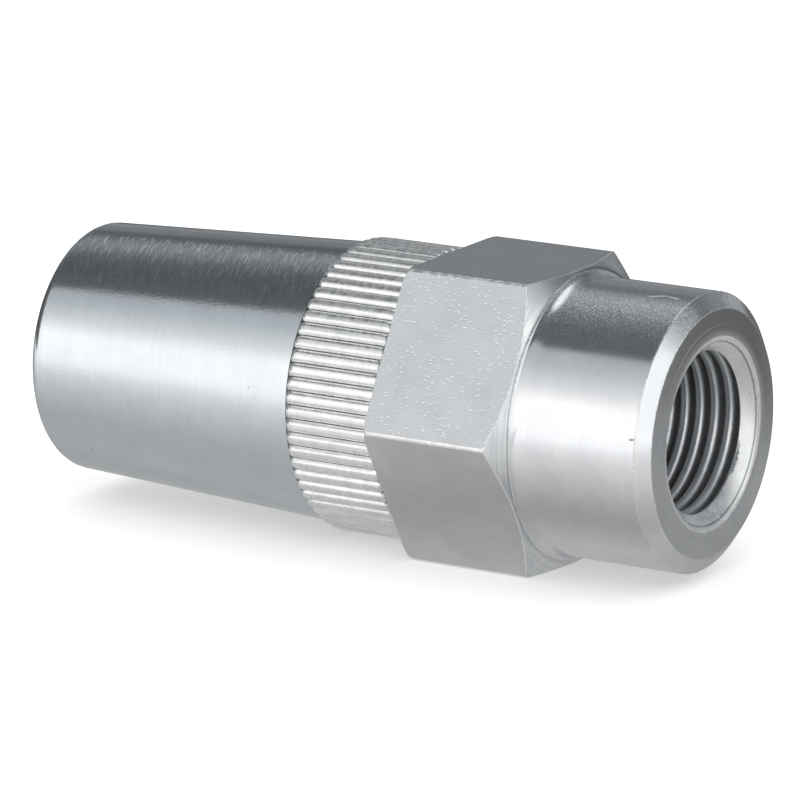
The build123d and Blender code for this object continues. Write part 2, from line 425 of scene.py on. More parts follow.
def mottle(
    add: Adder, place: bpy.types.Node, size: float | Size, detail: float = 2.0,
    span: Point | None = None, levels: Point = (0.0, 1.0), eased: bool = False,
    **settings: object,
) -> bpy.types.Node:
    """Makes a mottled pattern: noise of a real size, of which a span is stretched to levels.

    Args:
        add: Adds a node to the material.
        place: Coordinates in millimetres.
        size: Size of the mottles in millimetres, all round or along each axis.
        detail: Finer layers over the first.
        span: Two noise values between which the pattern changes, or none for plain noise.
        levels: What the pattern gives at these two values and beyond them.
        eased: Whether the change starts and ends softly.
        settings: Properties of the noise node.

    Returns:
        The node that gives the pattern.
    """
    if isinstance(size, tuple):
        place = add("Mapping", {0: place, "Scale": size}, **IN_CELLS)
        size = 1.0
    made = add("TexNoise", {"Vector": place, "Scale": 1 / size, "Detail": detail}, **settings)
    if span:
        values = {"Value": made, "From Min": span[0], "From Max": span[1]}
        values.update({"To Min": levels[0], "To Max": levels[1]})
        made = add("MapRange", values, **(EASED if eased else {}))
    return made


def emboss(add: Adder, layers: Sequence[tuple[bpy.types.Node, float]]) -> bpy.types.Node:
    """Lays bumps over each other.

    Args:
        add: Adds a node to the material.
        layers: Patterns from 0 to 1, each with its height in millimetres.

    Returns:
        The node that gives the bumped normal.
    """
    relief = None
    for pattern, height in layers:
        under = {"Normal": relief} if relief else {}
        relief = add("Bump", {"Strength": 1.0, "Distance": height * MM, "Height": pattern, **under})
    return relief


def axis_distance(add: Adder, place: bpy.types.Node) -> bpy.types.NodeSocket:
    """Measures how far a place is from the X axis.

    Args:
        add: Adds a node to the material.
        place: Coordinates in millimetres.

    Returns:
        The socket that gives the distance.
    """
    across = add("VectorMath", {0: place, 1: (0.0, 1.0, 1.0)}, operation="MULTIPLY")
    return add("VectorMath", {0: across}, operation="LENGTH").outputs["Value"]


def set_ramp(ramp: bpy.types.Node, stops: Sequence[Point], cool: float = 0.0) -> None:
    """Sets the stops of a colour ramp to greys, the darker ones a little bluer.

    Args:
        ramp: Colour ramp node.
        stops: Places from 0 to 1 and grey levels.
        cool: Blue shift of a stop at level 0, which fades to none at level 1.
    """
    elements = ramp.color_ramp.elements
    while len(elements) > 1:
        elements.remove(elements[-1])
    for number, (at, level) in enumerate(stops):
        element = elements[0] if number == 0 else elements.new(at)
        element.position = at
        shift = cool * (1 - level)
        element.color = (level * (1 - shift), level, level * (1 + shift), 1)


@dataclass(frozen=True)
class Mark:
    """A dent or scratch on a turned surface, as a small ellipse on its unrolled skin.

    Its place is x and the arc from the front horizon upwards. It is bright where the plate is
    scuffed and dark where dirt sits in it.
    """

    x: float
    arc: float
    half_length: float
    half_width: float
    turn: float = 0.0
    depth: float = 0.01
    bright: bool = True


@dataclass(frozen=True)
class TurnedZinc:
    """Bright zinc plate on turned steel.

    The plate is a nearly white mirror with a slight haze. The turning under it shows as fine
    rings round the axis, and the finishing belt as short slanted strokes, drawn only on the upper
    side and bright there as painted glints. Where the plate has dulled, a fine white bloom breaks
    up the dark reflections, and its flecks crowded on the upper side are painted glints. Rings and
    strokes are drawn about twice as coarse as the real ones, which are too fine to show.
    """

    name: str
    colour: str = "#dfe2e4"
    patch_colour: str = "#d5d9dc"
    # The speck colour also paints the shade in a thread's grooves
    speck_and_shade_colour: str = "#a4a6a8"
    patch_size: float = 1.6667
    patch_haze: float = 0.05
    radius: float = 7.5
    roughness: float = 0.15
    ring_spacing: float = 0.12
    ring_length: float = 4.5
    ring_depth: float = 0.0006
    ring_tint: float = 0.25
    # How far a step outwards moves the rings along X, so that a faced end has them too
    ring_lean: float = 1.7
    grain_size: float = 0.13
    grain_depth: float = 0.0012
    # Bloom all over, and more of it on the upper side as painted glints, as shares of the surface
    bloom: float = 0.0
    upper_glint_bloom: float = 0.0
    bloom_size: float = 0.065
    bloom_haze: float = 0.3
    # Share of the mirror that full bloom hides
    bloom_cover: float = 0.75
    # Spans of the noise in which patches, tinted rings, flecks of bloom, strokes and specks start
    # and are full
    patch_span: Point = (0.35, 0.7)
    ring_span: Point = (0.42, 0.68)
    bloom_span: Point = (0.43, 0.62)
    bloom_levels: Point = (0.1, 1.0)
    stroke_span: Point = (0.56, 0.75)
    speck_span: Point = (0.755, 0.81)
    # Where the upper side gets its painted glints: height over the axis as a share of the radius, and
    # the share
    upper: tuple[Point, ...] = (
        (0.58, 0.0), (0.72, 0.10), (0.80, 0.25), (0.86, 0.52), (0.91, 0.88), (0.945, 1.0),
        (0.97, 0.75), (0.986, 0.35), (1.0, 0.2),
    )
    # Strokes of the belt on the upper side, bright as painted glints, from 0 to 1
    strokes: float = 0.0
    stroke_width: float = 0.085
    stroke_length: float = 1.15
    # Sets of strokes over each other: the slant, the shift of the pattern and the weight
    stroke_sets: tuple[Size, ...] = ((10.0, 0.0, 1.0), (18.0, 20.0, 0.7), (-14.0, 40.0, 0.4))
    speck_size: float = 0.3846
    speck_share: float = 1.0
    marks: tuple[Mark, ...] = ()
    # The grain makes a mark's edge ragged: the most that it adds to the 1 of the ellipse, and
    # the sums between which the mark comes in
    mark_rag: float = 1.2
    mark_edge: Point = (1.9, 1.2)
    # X of fine dark lines that the tool left round the axis, how far from there a line starts
    # and is full, how ragged it is and how dark
    scores: tuple[float, ...] = ()
    score_edge: Point = (0.055, 0.035)
    score_rag: float = 0.03
    score_share: float = 0.7
    # Radii between which a thread's flank turns dark with painted shade, and the greatest x of that
    grooves: Size | None = None
    groove_shade_share: float = 0.9

    def build(self) -> bpy.types.Material:
        """Makes the material.

        Returns:
            The material.
        """
        made, add, place = start_finish(self.name)
        x, y, z = add("SeparateXYZ", {0: place}).outputs
        radius = axis_distance(add, place)
        # Rings follow x on a cylinder and the radius on a faced end
        along = add("Math", {0: radius, 1: self.ring_lean, 2: x}, operation="MULTIPLY_ADD")
        ring_place = add("CombineXYZ", {0: along, 1: y, 2: z})
        rings = mottle(add, ring_place, (self.ring_spacing, self.ring_length, self.ring_length))
        start, full = self.ring_span
        shades = {"Value": rings, "From Min": start, "From Max": full, "To Max": self.ring_tint}
        shades = add("MapRange", shades)
        grain = mottle(add, place, self.grain_size)
        patches = mottle(add, place, self.patch_size, 4.0, self.patch_span)
        patches = add("Math", {0: patches, 1: shades}, operation="ADD")
        layers = [(rings, self.ring_depth), (grain, self.grain_depth)]
        # Place on the unrolled skin, and a mask of the upper side, which holds the painted glints
        front = add("Math", {0: y, 1: -1.0}, operation="MULTIPLY")
        angle = add("Math", {0: z, 1: front}, operation="ARCTAN2")
        arc = add("Math", {0: angle, 1: self.radius}, operation="MULTIPLY")
        skin = add("CombineXYZ", {0: x, 1: arc})
        rise = add("Math", {0: z, 1: radius}, operation="DIVIDE")
        upper = add("ValToRGB", {0: rise})
        set_ramp(upper, self.upper)
        # Bloom flecks: dull plate all over, and painted glints crowded on the upper side
        flecks = mottle(
            add, place, self.bloom_size, 3.0, self.bloom_span, self.bloom_levels, True
        )
        share = add("Math", {0: upper, 1: self.upper_glint_bloom, 2: self.bloom}, operation="MULTIPLY_ADD")
        dull = add("Math", {0: flecks, 1: share}, operation="MULTIPLY")
        # The belt's strokes, only on the upper side, where they are bright as painted glints
        for slant, shift, weight in self.stroke_sets if self.strokes else ():
            laid = add(
                "Mapping",
                {0: skin, "Location": (shift, shift, 0), "Rotation": (0, 0, radians(slant)),
                 "Scale": (self.stroke_width, self.stroke_length, 1)}, **IN_CELLS,
            )
            levels = (0.0, weight * self.strokes)
            stroke = mottle(
                add, laid, 1.0, 1.0, self.stroke_span, levels, True, noise_dimensions="2D"
            )
            stroke = add("Math", {0: stroke, 1: upper}, operation="MULTIPLY")
            dull = add("Math", {0: dull, 1: stroke}, operation="MAXIMUM")
        levels = (0.0, self.speck_share)
        dark = mottle(add, place, self.speck_size, 2.0, self.speck_span, levels, True)
        for mark in self.marks:
            inside = add(
                "Mapping",
                {0: skin, "Location": (mark.x, mark.arc, 0), "Rotation": (0, 0, radians(mark.turn)),
                 "Scale": (mark.half_length, mark.half_width, 1)}, **IN_CELLS,
            )
            far = add("VectorMath", {0: inside}, operation="LENGTH")
            ragged = add("Math", {0: grain, 1: self.mark_rag, 2: far}, operation="MULTIPLY_ADD")
            start, full = self.mark_edge
            hit = add("MapRange", {"Value": ragged, "From Min": start, "From Max": full}, **EASED)
            layers.append((hit, -mark.depth))
            if mark.bright:
                dull = add("Math", {0: dull, 1: hit}, operation="MAXIMUM")
            else:
                dark = add("Math", {0: dark, 1: hit}, operation="MAXIMUM")
        for at in self.scores:
            off = add("Math", {0: x, 1: at}, operation="SUBTRACT")
            off = add("Math", {0: off}, operation="ABSOLUTE")
            off = add("Math", {0: grain, 1: self.score_rag, 2: off}, operation="MULTIPLY_ADD")
            start, full = self.score_edge
            line = {"Value": off, "From Min": start, "From Max": full, "To Max": self.score_share}
            dark = add("Math", {0: dark, 1: add("MapRange", line)}, operation="MAXIMUM")
        # Painted shade: a thread's flanks darken towards the root, behind a given x
        if self.grooves:
            shade_start, full, x_start = self.grooves
            painted_groove_shade = {"Value": radius, "From Min": shade_start, "From Max": full, "To Max": self.groove_shade_share}
            behind = add("Math", {0: x, 1: x_start}, operation="LESS_THAN")
            painted_groove_shade = add("Math", {0: add("MapRange", painted_groove_shade), 1: behind}, operation="MULTIPLY")
            dark = add("Math", {0: dark, 1: painted_groove_shade}, operation="MAXIMUM")
        tint = add("Mix", {0: patches, 6: linear(self.colour), 7: linear(self.patch_colour)}, **RGBA)
        tint = add("Mix", {0: dark, 6: tint, 7: linear(self.speck_and_shade_colour)}, **RGBA)
        haze = add("Math", {0: patches, 1: self.patch_haze, 2: self.roughness}, operation="MULTIPLY_ADD")
        haze = add("Math", {0: dull, 1: self.bloom_haze, 2: haze}, operation="MULTIPLY_ADD")
        metal = add("Math", {0: dull, 1: -self.bloom_cover, 2: 1.0}, operation="MULTIPLY_ADD")
        end_finish(add, tint, metal, haze, emboss(add, layers))
        return made


@dataclass(frozen=True)
class DrawnZinc:
    """Bright zinc plate on the drawn flats of hexagon bar.

    Drawing leaves the bar smooth but slightly wavy, with faint lines along it. Small pits
    crowd on one side of the bar, and the upper lip of each catches a point of light; each pit
    is also painted whiter and less mirror-like, a painted glint.
    """

    name: str
    colour: str = "#e2e4e6"
    patch_colour: str = "#dadcdf"
    patch_size: float = 2.0
    patch_span: Point = (0.35, 0.7)
    patch_haze: float = 0.05
    roughness: float = 0.24
    drawn_size: Size = (3.0, 0.12, 0.12)
    drawn_depth: float = 0.0005
    swirl_size: float = 0.9091
    swirl_depth: float = 0.003
    swirl_detail: float = 5.0
    swirl_bend: float = 1.2
    # Whiter colour of the pits and the worn line, a painted glint
    glint_colour: str = "#f4f5f6"
    # Spacing of the pits along the bar and across it
    pit_spacing: Point = (0.26, 0.18)
    pit_depth: float = 0.009
    # Radius of the pits on most flats and on the rough one, as a share of their spacing, and
    # how bright a cell's random colour is where it holds a pit
    pit_radii: Point = (0.15, 0.42)
    pit_from: float = 0.4
    # Size of the crowds and of the spaces between them, and the span of the noise from space
    # to crowd
    crowd_size: float = 1.4286
    crowd_span: Point = (0.34, 0.56)
    crowd_levels: Point = (0.5, 1.0)
    # Angle of the flat that has most pits, above the front horizon, the distance of a flat from
    # the axis, and how far short of it that flat starts and is full
    rough_side: float = 30.0
    half_width: float = 8.0
    rough_edge: Point = (0.3, 0.05)
    # The flats end where the turned shoulder's cone cuts them: its x on the axis and its slope
    cone_x: float = -3.381
    cone_angle: float = 30.0
    # Width, depth and share of the worn line there: a real dent, and a painted highlight along the edge
    worn_width: float = 0.07
    # How many widths the lumps add at most, and the sums in widths between which the line comes in
    worn_rag: float = 3.0
    worn_edge: Point = (2.9, 2.3)
    worn_depth: float = 0.02
    wear_and_highlight_share: float = 0.8
    lump_size: float = 0.2857
    # Share of the mirror that a pit or the worn line hides
    bright_cover: float = 0.35

    def build(self) -> bpy.types.Material:
        """Makes the material.

        Returns:
            The material.
        """
        made, add, place = start_finish(self.name)
        patches = mottle(add, place, self.patch_size, 3.0, self.patch_span)
        drawn = mottle(add, place, self.drawn_size)
        swirl = add(
            "TexNoise",
            {"Vector": place, "Scale": 1 / self.swirl_size, "Detail": self.swirl_detail,
             "Distortion": self.swirl_bend},
        )
        # The dot product reaches the half width only on the flat that faces this way
        way = (0.0, -cos(radians(self.rough_side)), sin(radians(self.rough_side)))
        facing = add("VectorMath", {0: place, 1: way}, operation="DOT_PRODUCT")
        small, large = self.pit_radii
        start, full = (self.half_width - short for short in self.rough_edge)
        limit = {"Value": facing, "From Min": start, "From Max": full, "To Min": small, "To Max": large}
        limit = add("MapRange", limit)
        crowd = mottle(add, place, self.crowd_size, 2.0, self.crowd_span, self.crowd_levels)
        limit = add("Math", {0: limit, 1: crowd}, operation="MULTIPLY")
        along, over = self.pit_spacing
        cells = add("Mapping", {0: place, "Scale": (along, over, over)}, **IN_CELLS)
        cells = add("TexVoronoi", {"Vector": cells, "Scale": 1.0})
        pits = add("MapRange", {"Value": cells, "From Min": limit, "From Max": 0.0}, **EASED)
        chosen = add("Math", {0: cells.outputs["Color"], 1: self.pit_from}, operation="GREATER_THAN")
        pits = add("Math", {0: pits, 1: chosen}, operation="MULTIPLY")
        # The worn line along the cone's edge: a real dent, whose whiter colour is a painted highlight
        # How far in x a point lies behind the cone
        slope = -tan(radians(self.cone_angle))
        radius = axis_distance(add, place)
        behind = add("Math", {0: radius, 1: slope, 2: self.cone_x}, operation="MULTIPLY_ADD")
        x = add("SeparateXYZ", {0: place})
        behind = add("Math", {0: behind, 1: x}, operation="SUBTRACT")
        lumps = mottle(add, place, self.lump_size, 3.0)
        rag = self.worn_rag * self.worn_width
        behind = add("Math", {0: lumps, 1: rag, 2: behind}, operation="MULTIPLY_ADD")
        start, full = (widths * self.worn_width for widths in self.worn_edge)
        wear_and_highlight = {"Value": behind, "From Min": start, "From Max": full, "To Max": self.wear_and_highlight_share}
        wear_and_highlight = add("MapRange", wear_and_highlight)
        relief = emboss(add, (
            (drawn, self.drawn_depth), (swirl, self.swirl_depth), (wear_and_highlight, -self.worn_depth),
            (pits, -self.pit_depth),
        ))
        # Pits and the worn line get a whiter colour and less mirror, as painted glints
        bright = add("Math", {0: pits, 1: wear_and_highlight}, operation="MAXIMUM")
        tint = add("Mix", {0: patches, 6: linear(self.colour), 7: linear(self.patch_colour)}, **RGBA)
        tint = add("Mix", {0: bright, 6: tint, 7: linear(self.glint_colour)}, **RGBA)
        haze = add("Math", {0: patches, 1: self.patch_haze, 2: self.roughness}, operation="MULTIPLY_ADD")
        metal = add("Math", {0: bright, 1: -self.bright_cover, 2: 1.0}, operation="MULTIPLY_ADD")
        end_finish(add, tint, metal, haze, relief)
        return made


@dataclass(frozen=True)
class WornZinc:
    """Thick dull zinc on edges and rolled ridges.

    Plate builds up there and stays matt and lumpy, so it looks nearly white from every side
    and sparkles in small points; on the hexagon's edges and the turned arrises this near-white
    is partly a painted highlight.
    """

    name: str
    colour: str = "#f0f1ef"
    shade_colour: str = "#dddfda"
    cloud_size: float = 0.7692
    cloud_haze: float = 0.08
    roughness: float = 0.24
    lump_size: float = 0.26
    lump_height: float = 0.003
    bloom: float = 0.12
    # Radii between which the side of a groove turns grey with painted shade
    grooves: Point | None = None
    groove_shade_colour: str = "#8b8e8d"

    def build(self) -> bpy.types.Material:
        """Makes the material.

        Returns:
            The material.
        """
        made, add, place = start_finish(self.name)
        lumps = mottle(add, place, self.lump_size, 3.0, ALL_NOISE, eased=True)
        cloud = mottle(add, place, self.cloud_size, 4.0, ALL_NOISE)
        tint = add("Mix", {0: cloud, 6: linear(self.colour), 7: linear(self.shade_colour)}, **RGBA)
        # Painted shade: the sides of the grooves turn grey towards their root
        if self.grooves:
            shade_start, full = self.grooves
            radius = axis_distance(add, place)
            painted_groove_shade = add("MapRange", {"Value": radius, "From Min": shade_start, "From Max": full})
            tint = add("Mix", {0: painted_groove_shade, 6: tint, 7: linear(self.groove_shade_colour)}, **RGBA)
        haze = add("Math", {0: cloud, 1: self.cloud_haze, 2: self.roughness}, operation="MULTIPLY_ADD")
        bare = 1.0 - self.bloom / 2
        metal = add("Math", {0: lumps, 1: -self.bloom, 2: bare}, operation="MULTIPLY_ADD")
        end_finish(add, tint, metal, haze, emboss(add, [(lumps, self.lump_height)]))
        return made


@dataclass(frozen=True)
class PlainMetal:
    """Turned or ground steel inside the coupler, with fine lines and a slight oil haze."""

    name: str
    colour: str
    roughness: float = 0.25
    line_depth: float = 0.0008
    line_size: Size = (0.11, 2.5, 2.5)
    cloud_size: float = 1.1111
    cloud_haze: float = 0.1
    # Level of the colour under the oil
    oil_level: float = 0.82

    def build(self) -> bpy.types.Material:
        """Makes the material.

        Returns:
            The material.
        """
        made, add, place = start_finish(self.name)
        lines = mottle(add, place, self.line_size)
        cloud = mottle(add, place, self.cloud_size, 4.0, ALL_NOISE)
        haze = add("Math", {0: cloud, 1: self.cloud_haze, 2: self.roughness}, operation="MULTIPLY_ADD")
        oiled = linear(self.colour, self.oil_level)
        tint = add("Mix", {0: cloud, 6: linear(self.colour), 7: oiled}, **RGBA)
        end_finish(add, tint, 1.0, haze, emboss(add, [(lines, self.line_depth)]))
        return made


@dataclass(frozen=True)
class SoftRing:
    """Moulded rubber or turned plastic of the packing and the seals: satin, without metal."""

    name: str
    colour: str
    roughness: float = 0.55
    grain_size: float = 0.1667
    grain_depth: float = 0.006
    # Level of the colour on the grain's tops
    top_level: float = 1.25

    def build(self) -> bpy.types.Material:
        """Makes the material.

        Returns:
            The material.
        """
        made, add, place = start_finish(self.name)
        grain = mottle(add, place, self.grain_size, 4.0, ALL_NOISE)
        tops = linear(self.colour, self.top_level)
        tint = add("Mix", {0: grain, 6: linear(self.colour), 7: tops}, **RGBA)
        end_finish(add, tint, 0.0, self.roughness, emboss(add, [(grain, self.grain_depth)]))
        return made


# Sub-assemblies


@dataclass(frozen=True)
class Ridge:
    """The ridge of a thread: its piece's name, its lead and its section."""

    name: str
    pitch: float
    turns: int
    crest_radius: float
    root_radius: float
    # Half of the section: half widths, with heights over the crest's radius from the middle of
    # the crest down its flank, and then with heights over the root's radius at its foot
    crest: tuple[Point, ...]
    foot: tuple[Point, ...]
    segments: int = 72

    def model(self, start: float) -> bpy.types.Object:
        """Models the ridge.

        Args:
            start: X of the section's middle where the ridge crosses +Y first, in millimetres.

        Returns:
            The piece with closed ends.
        """
        half = [(wide, self.crest_radius + off) for wide, off in self.crest]
        half += [(wide, self.root_radius + off) for wide, off in self.foot]
        mirrored = [(-wide, radius) for wide, radius in reversed(half) if wide]
        return helix_ridge(self.name, mirrored + half, self.pitch, start, self.turns, self.segments)


@dataclass
class AdapterBody:
    """Neck with the inlet thread, wrench hexagon and the spigot that holds the cylinder."""

    neck_radius: float = 7.55
    neck_length: float = 8.0
    neck_bevel_length: float = 0.62
    neck_bevel_depth: float = 0.83
    # Fillet at the neck's root: how far before the hexagon and how high over the neck
    neck_fillet: tuple[Point, ...] = (
        (0.95, 0.0), (0.68, 0.012), (0.45, 0.045), (0.27, 0.10), (0.13, 0.18), (0.04, 0.30),
        (-0.3, 0.32),
    )
    # Step in the end face, and its slope: shares of its depth, and widths outwards
    face_step: float = 0.02
    face_step_radius: float = 5.8
    face_slope: tuple[Point, ...] = ((0.0, 0.0), (0.2, 0.025), (0.8, 0.065), (1.0, 0.09))
    hex_across_flats: float = 16.0
    hex_length: float = 8.15
    hex_bore_radius: float = 6.8
    hex_bevel_angle: float = 30.0
    # Rounding of the rear corners: its depth at the shoulder, and then places from there on and
    # shares of a depth
    hex_rear_drop: float = 0.32
    hex_rear_depth: float = 0.28
    hex_rear_round: tuple[Point, ...] = ((0.06, 0.6), (0.16, 0.25), (0.34, 0.0))
    # How far clear of the bar's corners the envelope goes, and how far from the shoulder
    envelope_clear: float = 1.0
    envelope_run: float = 1.5
    hex_edge: float = 0.13
    lip_radius: float = 5.26
    lip_depth: float = 0.12
    mouth_radius: float = 4.94
    x_sink_end: float = -0.80
    sink_radius: float = 4.36
    x_bore_start: float = -0.98
    inlet_depth: float = 9.0
    # G 1/8 with a rounded crest, and x of its crest at +Y in the second turn from the end face
    inlet_ridge: Ridge = Ridge(
        "inlet_thread_ridge", pitch=0.907, turns=10, crest_radius=4.42, root_radius=4.865,
        crest=((0.05, 0.0), (0.11, 0.012), (0.16, 0.042), (0.20, 0.085), (0.24, 0.145)),
        foot=((0.38, -0.04), (0.41, 0.005), (0.42, 0.12)),
    )
    inlet_crest_x: float = -1.518
    x_thread_start: float = -0.84
    # Faces nearer to the axis than this belong to the inlet
    bore_reach: float = 5.2
    passage_radius: float = 1.6
    x_drill_point: float = -10.962
    x_cylinder_floor: float = -12.202
    cylinder_radius: float = 4.6
    cylinder_bevel: float = 0.35
    spigot_thread_length: float = 7.05
    spigot_ridge: Ridge = Ridge(
        "spigot_thread_ridge", pitch=1.0, turns=5, crest_radius=6.47, root_radius=5.85,
        crest=((0.0, 0.0), (0.08, -0.03)), foot=((0.42, 0.02), (0.42, -0.1)),
    )
    # How far behind the thread's end the ridge's first turn lies
    spigot_lead_in: float = 0.5
    spigot_relief: float = 1.2
    pilot_radius: float = 5.85
    pilot_length: float = 3.05
    pilot_bevel: float = 0.3
    # The thread's relief lies over the pilot by this, and slopes down to it over this length
    relief_height: float = 0.07
    relief_slope: float = 0.2
    # The collar that fills the hexagon's rear end: its radius, and how far from the shoulder
    # the step to it starts and ends
    collar_radius: float = 7.2
    collar_rise: Point = (0.1, 0.3)
    segments: int = 144

    @property
    def x_hex_front(self) -> float:
        """X of the hexagon's neck side."""
        return -self.neck_length

    @property
    def x_shoulder(self) -> float:
        """X of the hexagon's rear face, where the sleeve meets it."""
        return -self.neck_length - self.hex_length

    def in_inlet(self, at: Vector) -> bool:
        """Says whether a place is inside the inlet."""
        return at.x < 0 and at.yz.length < self.bore_reach

    def turned_body(self) -> bpy.types.Object:
        """Models neck, bore and spigot as one turned piece.

        Returns:
            The piece.
        """
        x_relief = self.x_shoulder - self.spigot_relief
        x_end = self.x_shoulder - self.spigot_thread_length - self.pilot_length
        relief = self.pilot_radius + self.relief_height
        rise_start, rise_end = self.collar_rise
        bevel = self.pilot_bevel
        outline = [
            (-self.face_step, self.neck_radius - self.neck_bevel_depth),
            (-self.neck_bevel_length, self.neck_radius),
            *((self.x_hex_front + off, self.neck_radius + high) for off, high in self.neck_fillet),
            # The spigot, from inside the hexagon to the cylinder's mouth
            (self.x_shoulder + rise_end, self.collar_radius),
            (self.x_shoulder + rise_start, relief),
            (x_relief, relief),
            (x_relief - self.relief_slope, self.pilot_radius),
            (x_end + bevel, self.pilot_radius),
            (x_end, self.pilot_radius - bevel),
            # The cylinder, the passage and the inlet's bore, seen from the spigot's end
            (x_end, self.cylinder_radius + self.cylinder_bevel),
            (x_end + self.cylinder_bevel, self.cylinder_radius),
            (self.x_cylinder_floor, self.cylinder_radius),
            (self.x_cylinder_floor, self.passage_radius),
            (self.x_drill_point, self.passage_radius),
            (-self.inlet_depth, self.inlet_ridge.root_radius),
            (self.x_bore_start, self.inlet_ridge.root_radius),
            (self.x_sink_end, self.sink_radius),
            (-self.lip_depth, self.mouth_radius),
            (0.0, self.lip_radius),
            *((-share * self.face_step, self.face_step_radius + out) for share, out in self.face_slope),
        ]
        return lathe("adapter_turned_body", outline, self.segments)

    def hexagon(self, finishes: Sequence[bpy.types.Material]) -> bpy.types.Object:
        """Models the hexagon: a six-sided bar inside a turned envelope with a bevelled side.

        Args:
            finishes: Materials of the flats, the turned shoulder and the edges, slots 0 to 2.

        Returns:
            The piece, hollow where the turned body fills it.
        """
        corner = self.hex_across_flats / sqrt(3)
        middle = self.x_hex_front - self.hex_length / 2
        bpy.ops.object.select_all(action="DESELECT")
        bpy.ops.mesh.primitive_cylinder_add(
            vertices=6, radius=corner * MM, depth=self.hex_length * MM,
            location=(middle * MM, 0, 0), rotation=(0, pi / 2, 0),
        )
        part = name_piece("adapter_hexagon")
        settle(part)
        coat(part, *finishes)
        soften(part, self.hex_edge, 50.0, 3, finish=2)
        # Only the six long edges stay rounded: the ends go out of the envelope
        start_edit(part)
        for way in (-1, 1):
            pick(part, lambda at: way * (at.x - middle) > 0)
            bpy.ops.transform.translate(value=(way * 2 * MM, 0, 0))
        end_edit()
        rim = corner + self.envelope_clear
        flat = self.hex_across_flats / 2
        drop = (rim - flat) * tan(radians(self.hex_bevel_angle))
        outline = [
            (self.x_shoulder, self.hex_bore_radius),
            (self.x_shoulder, corner - self.hex_rear_drop),
            *((self.x_shoulder + off, corner - share * self.hex_rear_depth)
              for off, share in self.hex_rear_round),
            (self.x_shoulder + self.envelope_run, rim),
            (self.x_hex_front - drop, rim),
            (self.x_hex_front, flat),
            (self.x_hex_front, self.hex_bore_radius),
        ]
        cut(part, lathe("hexagon_envelope", outline, 192), "INTERSECT")
        outward(part)
        paint(part, 1, lambda at, way: way.x > 0.7)
        smooth(part, 20.0)
        apply_modifier(part, "WEIGHTED_NORMAL", keep_sharp=True)
        return part

    def inlet_thread(self) -> bpy.types.Object:
        """Models the ridge of the G 1/8 inlet thread, cut back by the countersink.

        Returns:
            The piece, its foot sunk in the bore's wall.
        """
        ridge = self.inlet_ridge
        part = ridge.model(self.inlet_crest_x + (2 - ridge.turns) * ridge.pitch)
        # A ring that takes away all of the ridge in front of the thread's start
        inner, outer = ridge.crest_radius - 1, ridge.root_radius + 1
        outline = [
            (self.x_thread_start, inner), (self.x_thread_start, outer), (2.0, outer), (2.0, inner),
        ]
        cut(part, lathe("countersink", outline, 96), "DIFFERENCE")
        outward(part)
        smooth(part, 40.0)
        return part

    def spigot_thread(self) -> bpy.types.Object:
        """Models the ridge of the spigot's thread, which the sleeve hides until it is unscrewed.

        Returns:
            The piece, its foot sunk in the spigot.
        """
        x_end = self.x_shoulder - self.spigot_thread_length
        part = self.spigot_ridge.model(x_end + self.spigot_lead_in)
        smooth(part, 40.0)
        return part

    def build(self, finishes: Mapping[str, bpy.types.Material]) -> None:
        """Models the body's pieces and dresses them.

        Args:
            finishes: Materials by name.
        """
        turned = self.turned_body()
        coats = ("neck", "face", "bore", "sink", "arris")
        coat(turned, *(finishes[name] for name in coats))
        paint(turned, coats.index("face"), lambda at, way: way.x > 0.8 and at.x > -0.2)
        paint(turned, coats.index("bore"), lambda at, way: self.in_inlet(at))
        paint(
            turned, coats.index("sink"),
            lambda at, way: self.in_inlet(at) and at.x > self.x_sink_end,
        )
        soften(turned, 0.05, 30.0, finish=coats.index("arris"))
        apply_modifier(turned, "WEIGHTED_NORMAL", keep_sharp=True)
        dress(turned, Body.ADAPTER)
        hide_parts("adapter_body")
        hexagon = self.hexagon([finishes[name] for name in ("flat", "shoulder", "edge")])
        dress(hexagon, Body.ADAPTER)
        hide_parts("adapter_body")
        for thread in (self.inlet_thread(), self.spigot_thread()):
            coat(thread, finishes["bore"])
            dress(thread, Body.ADAPTER)


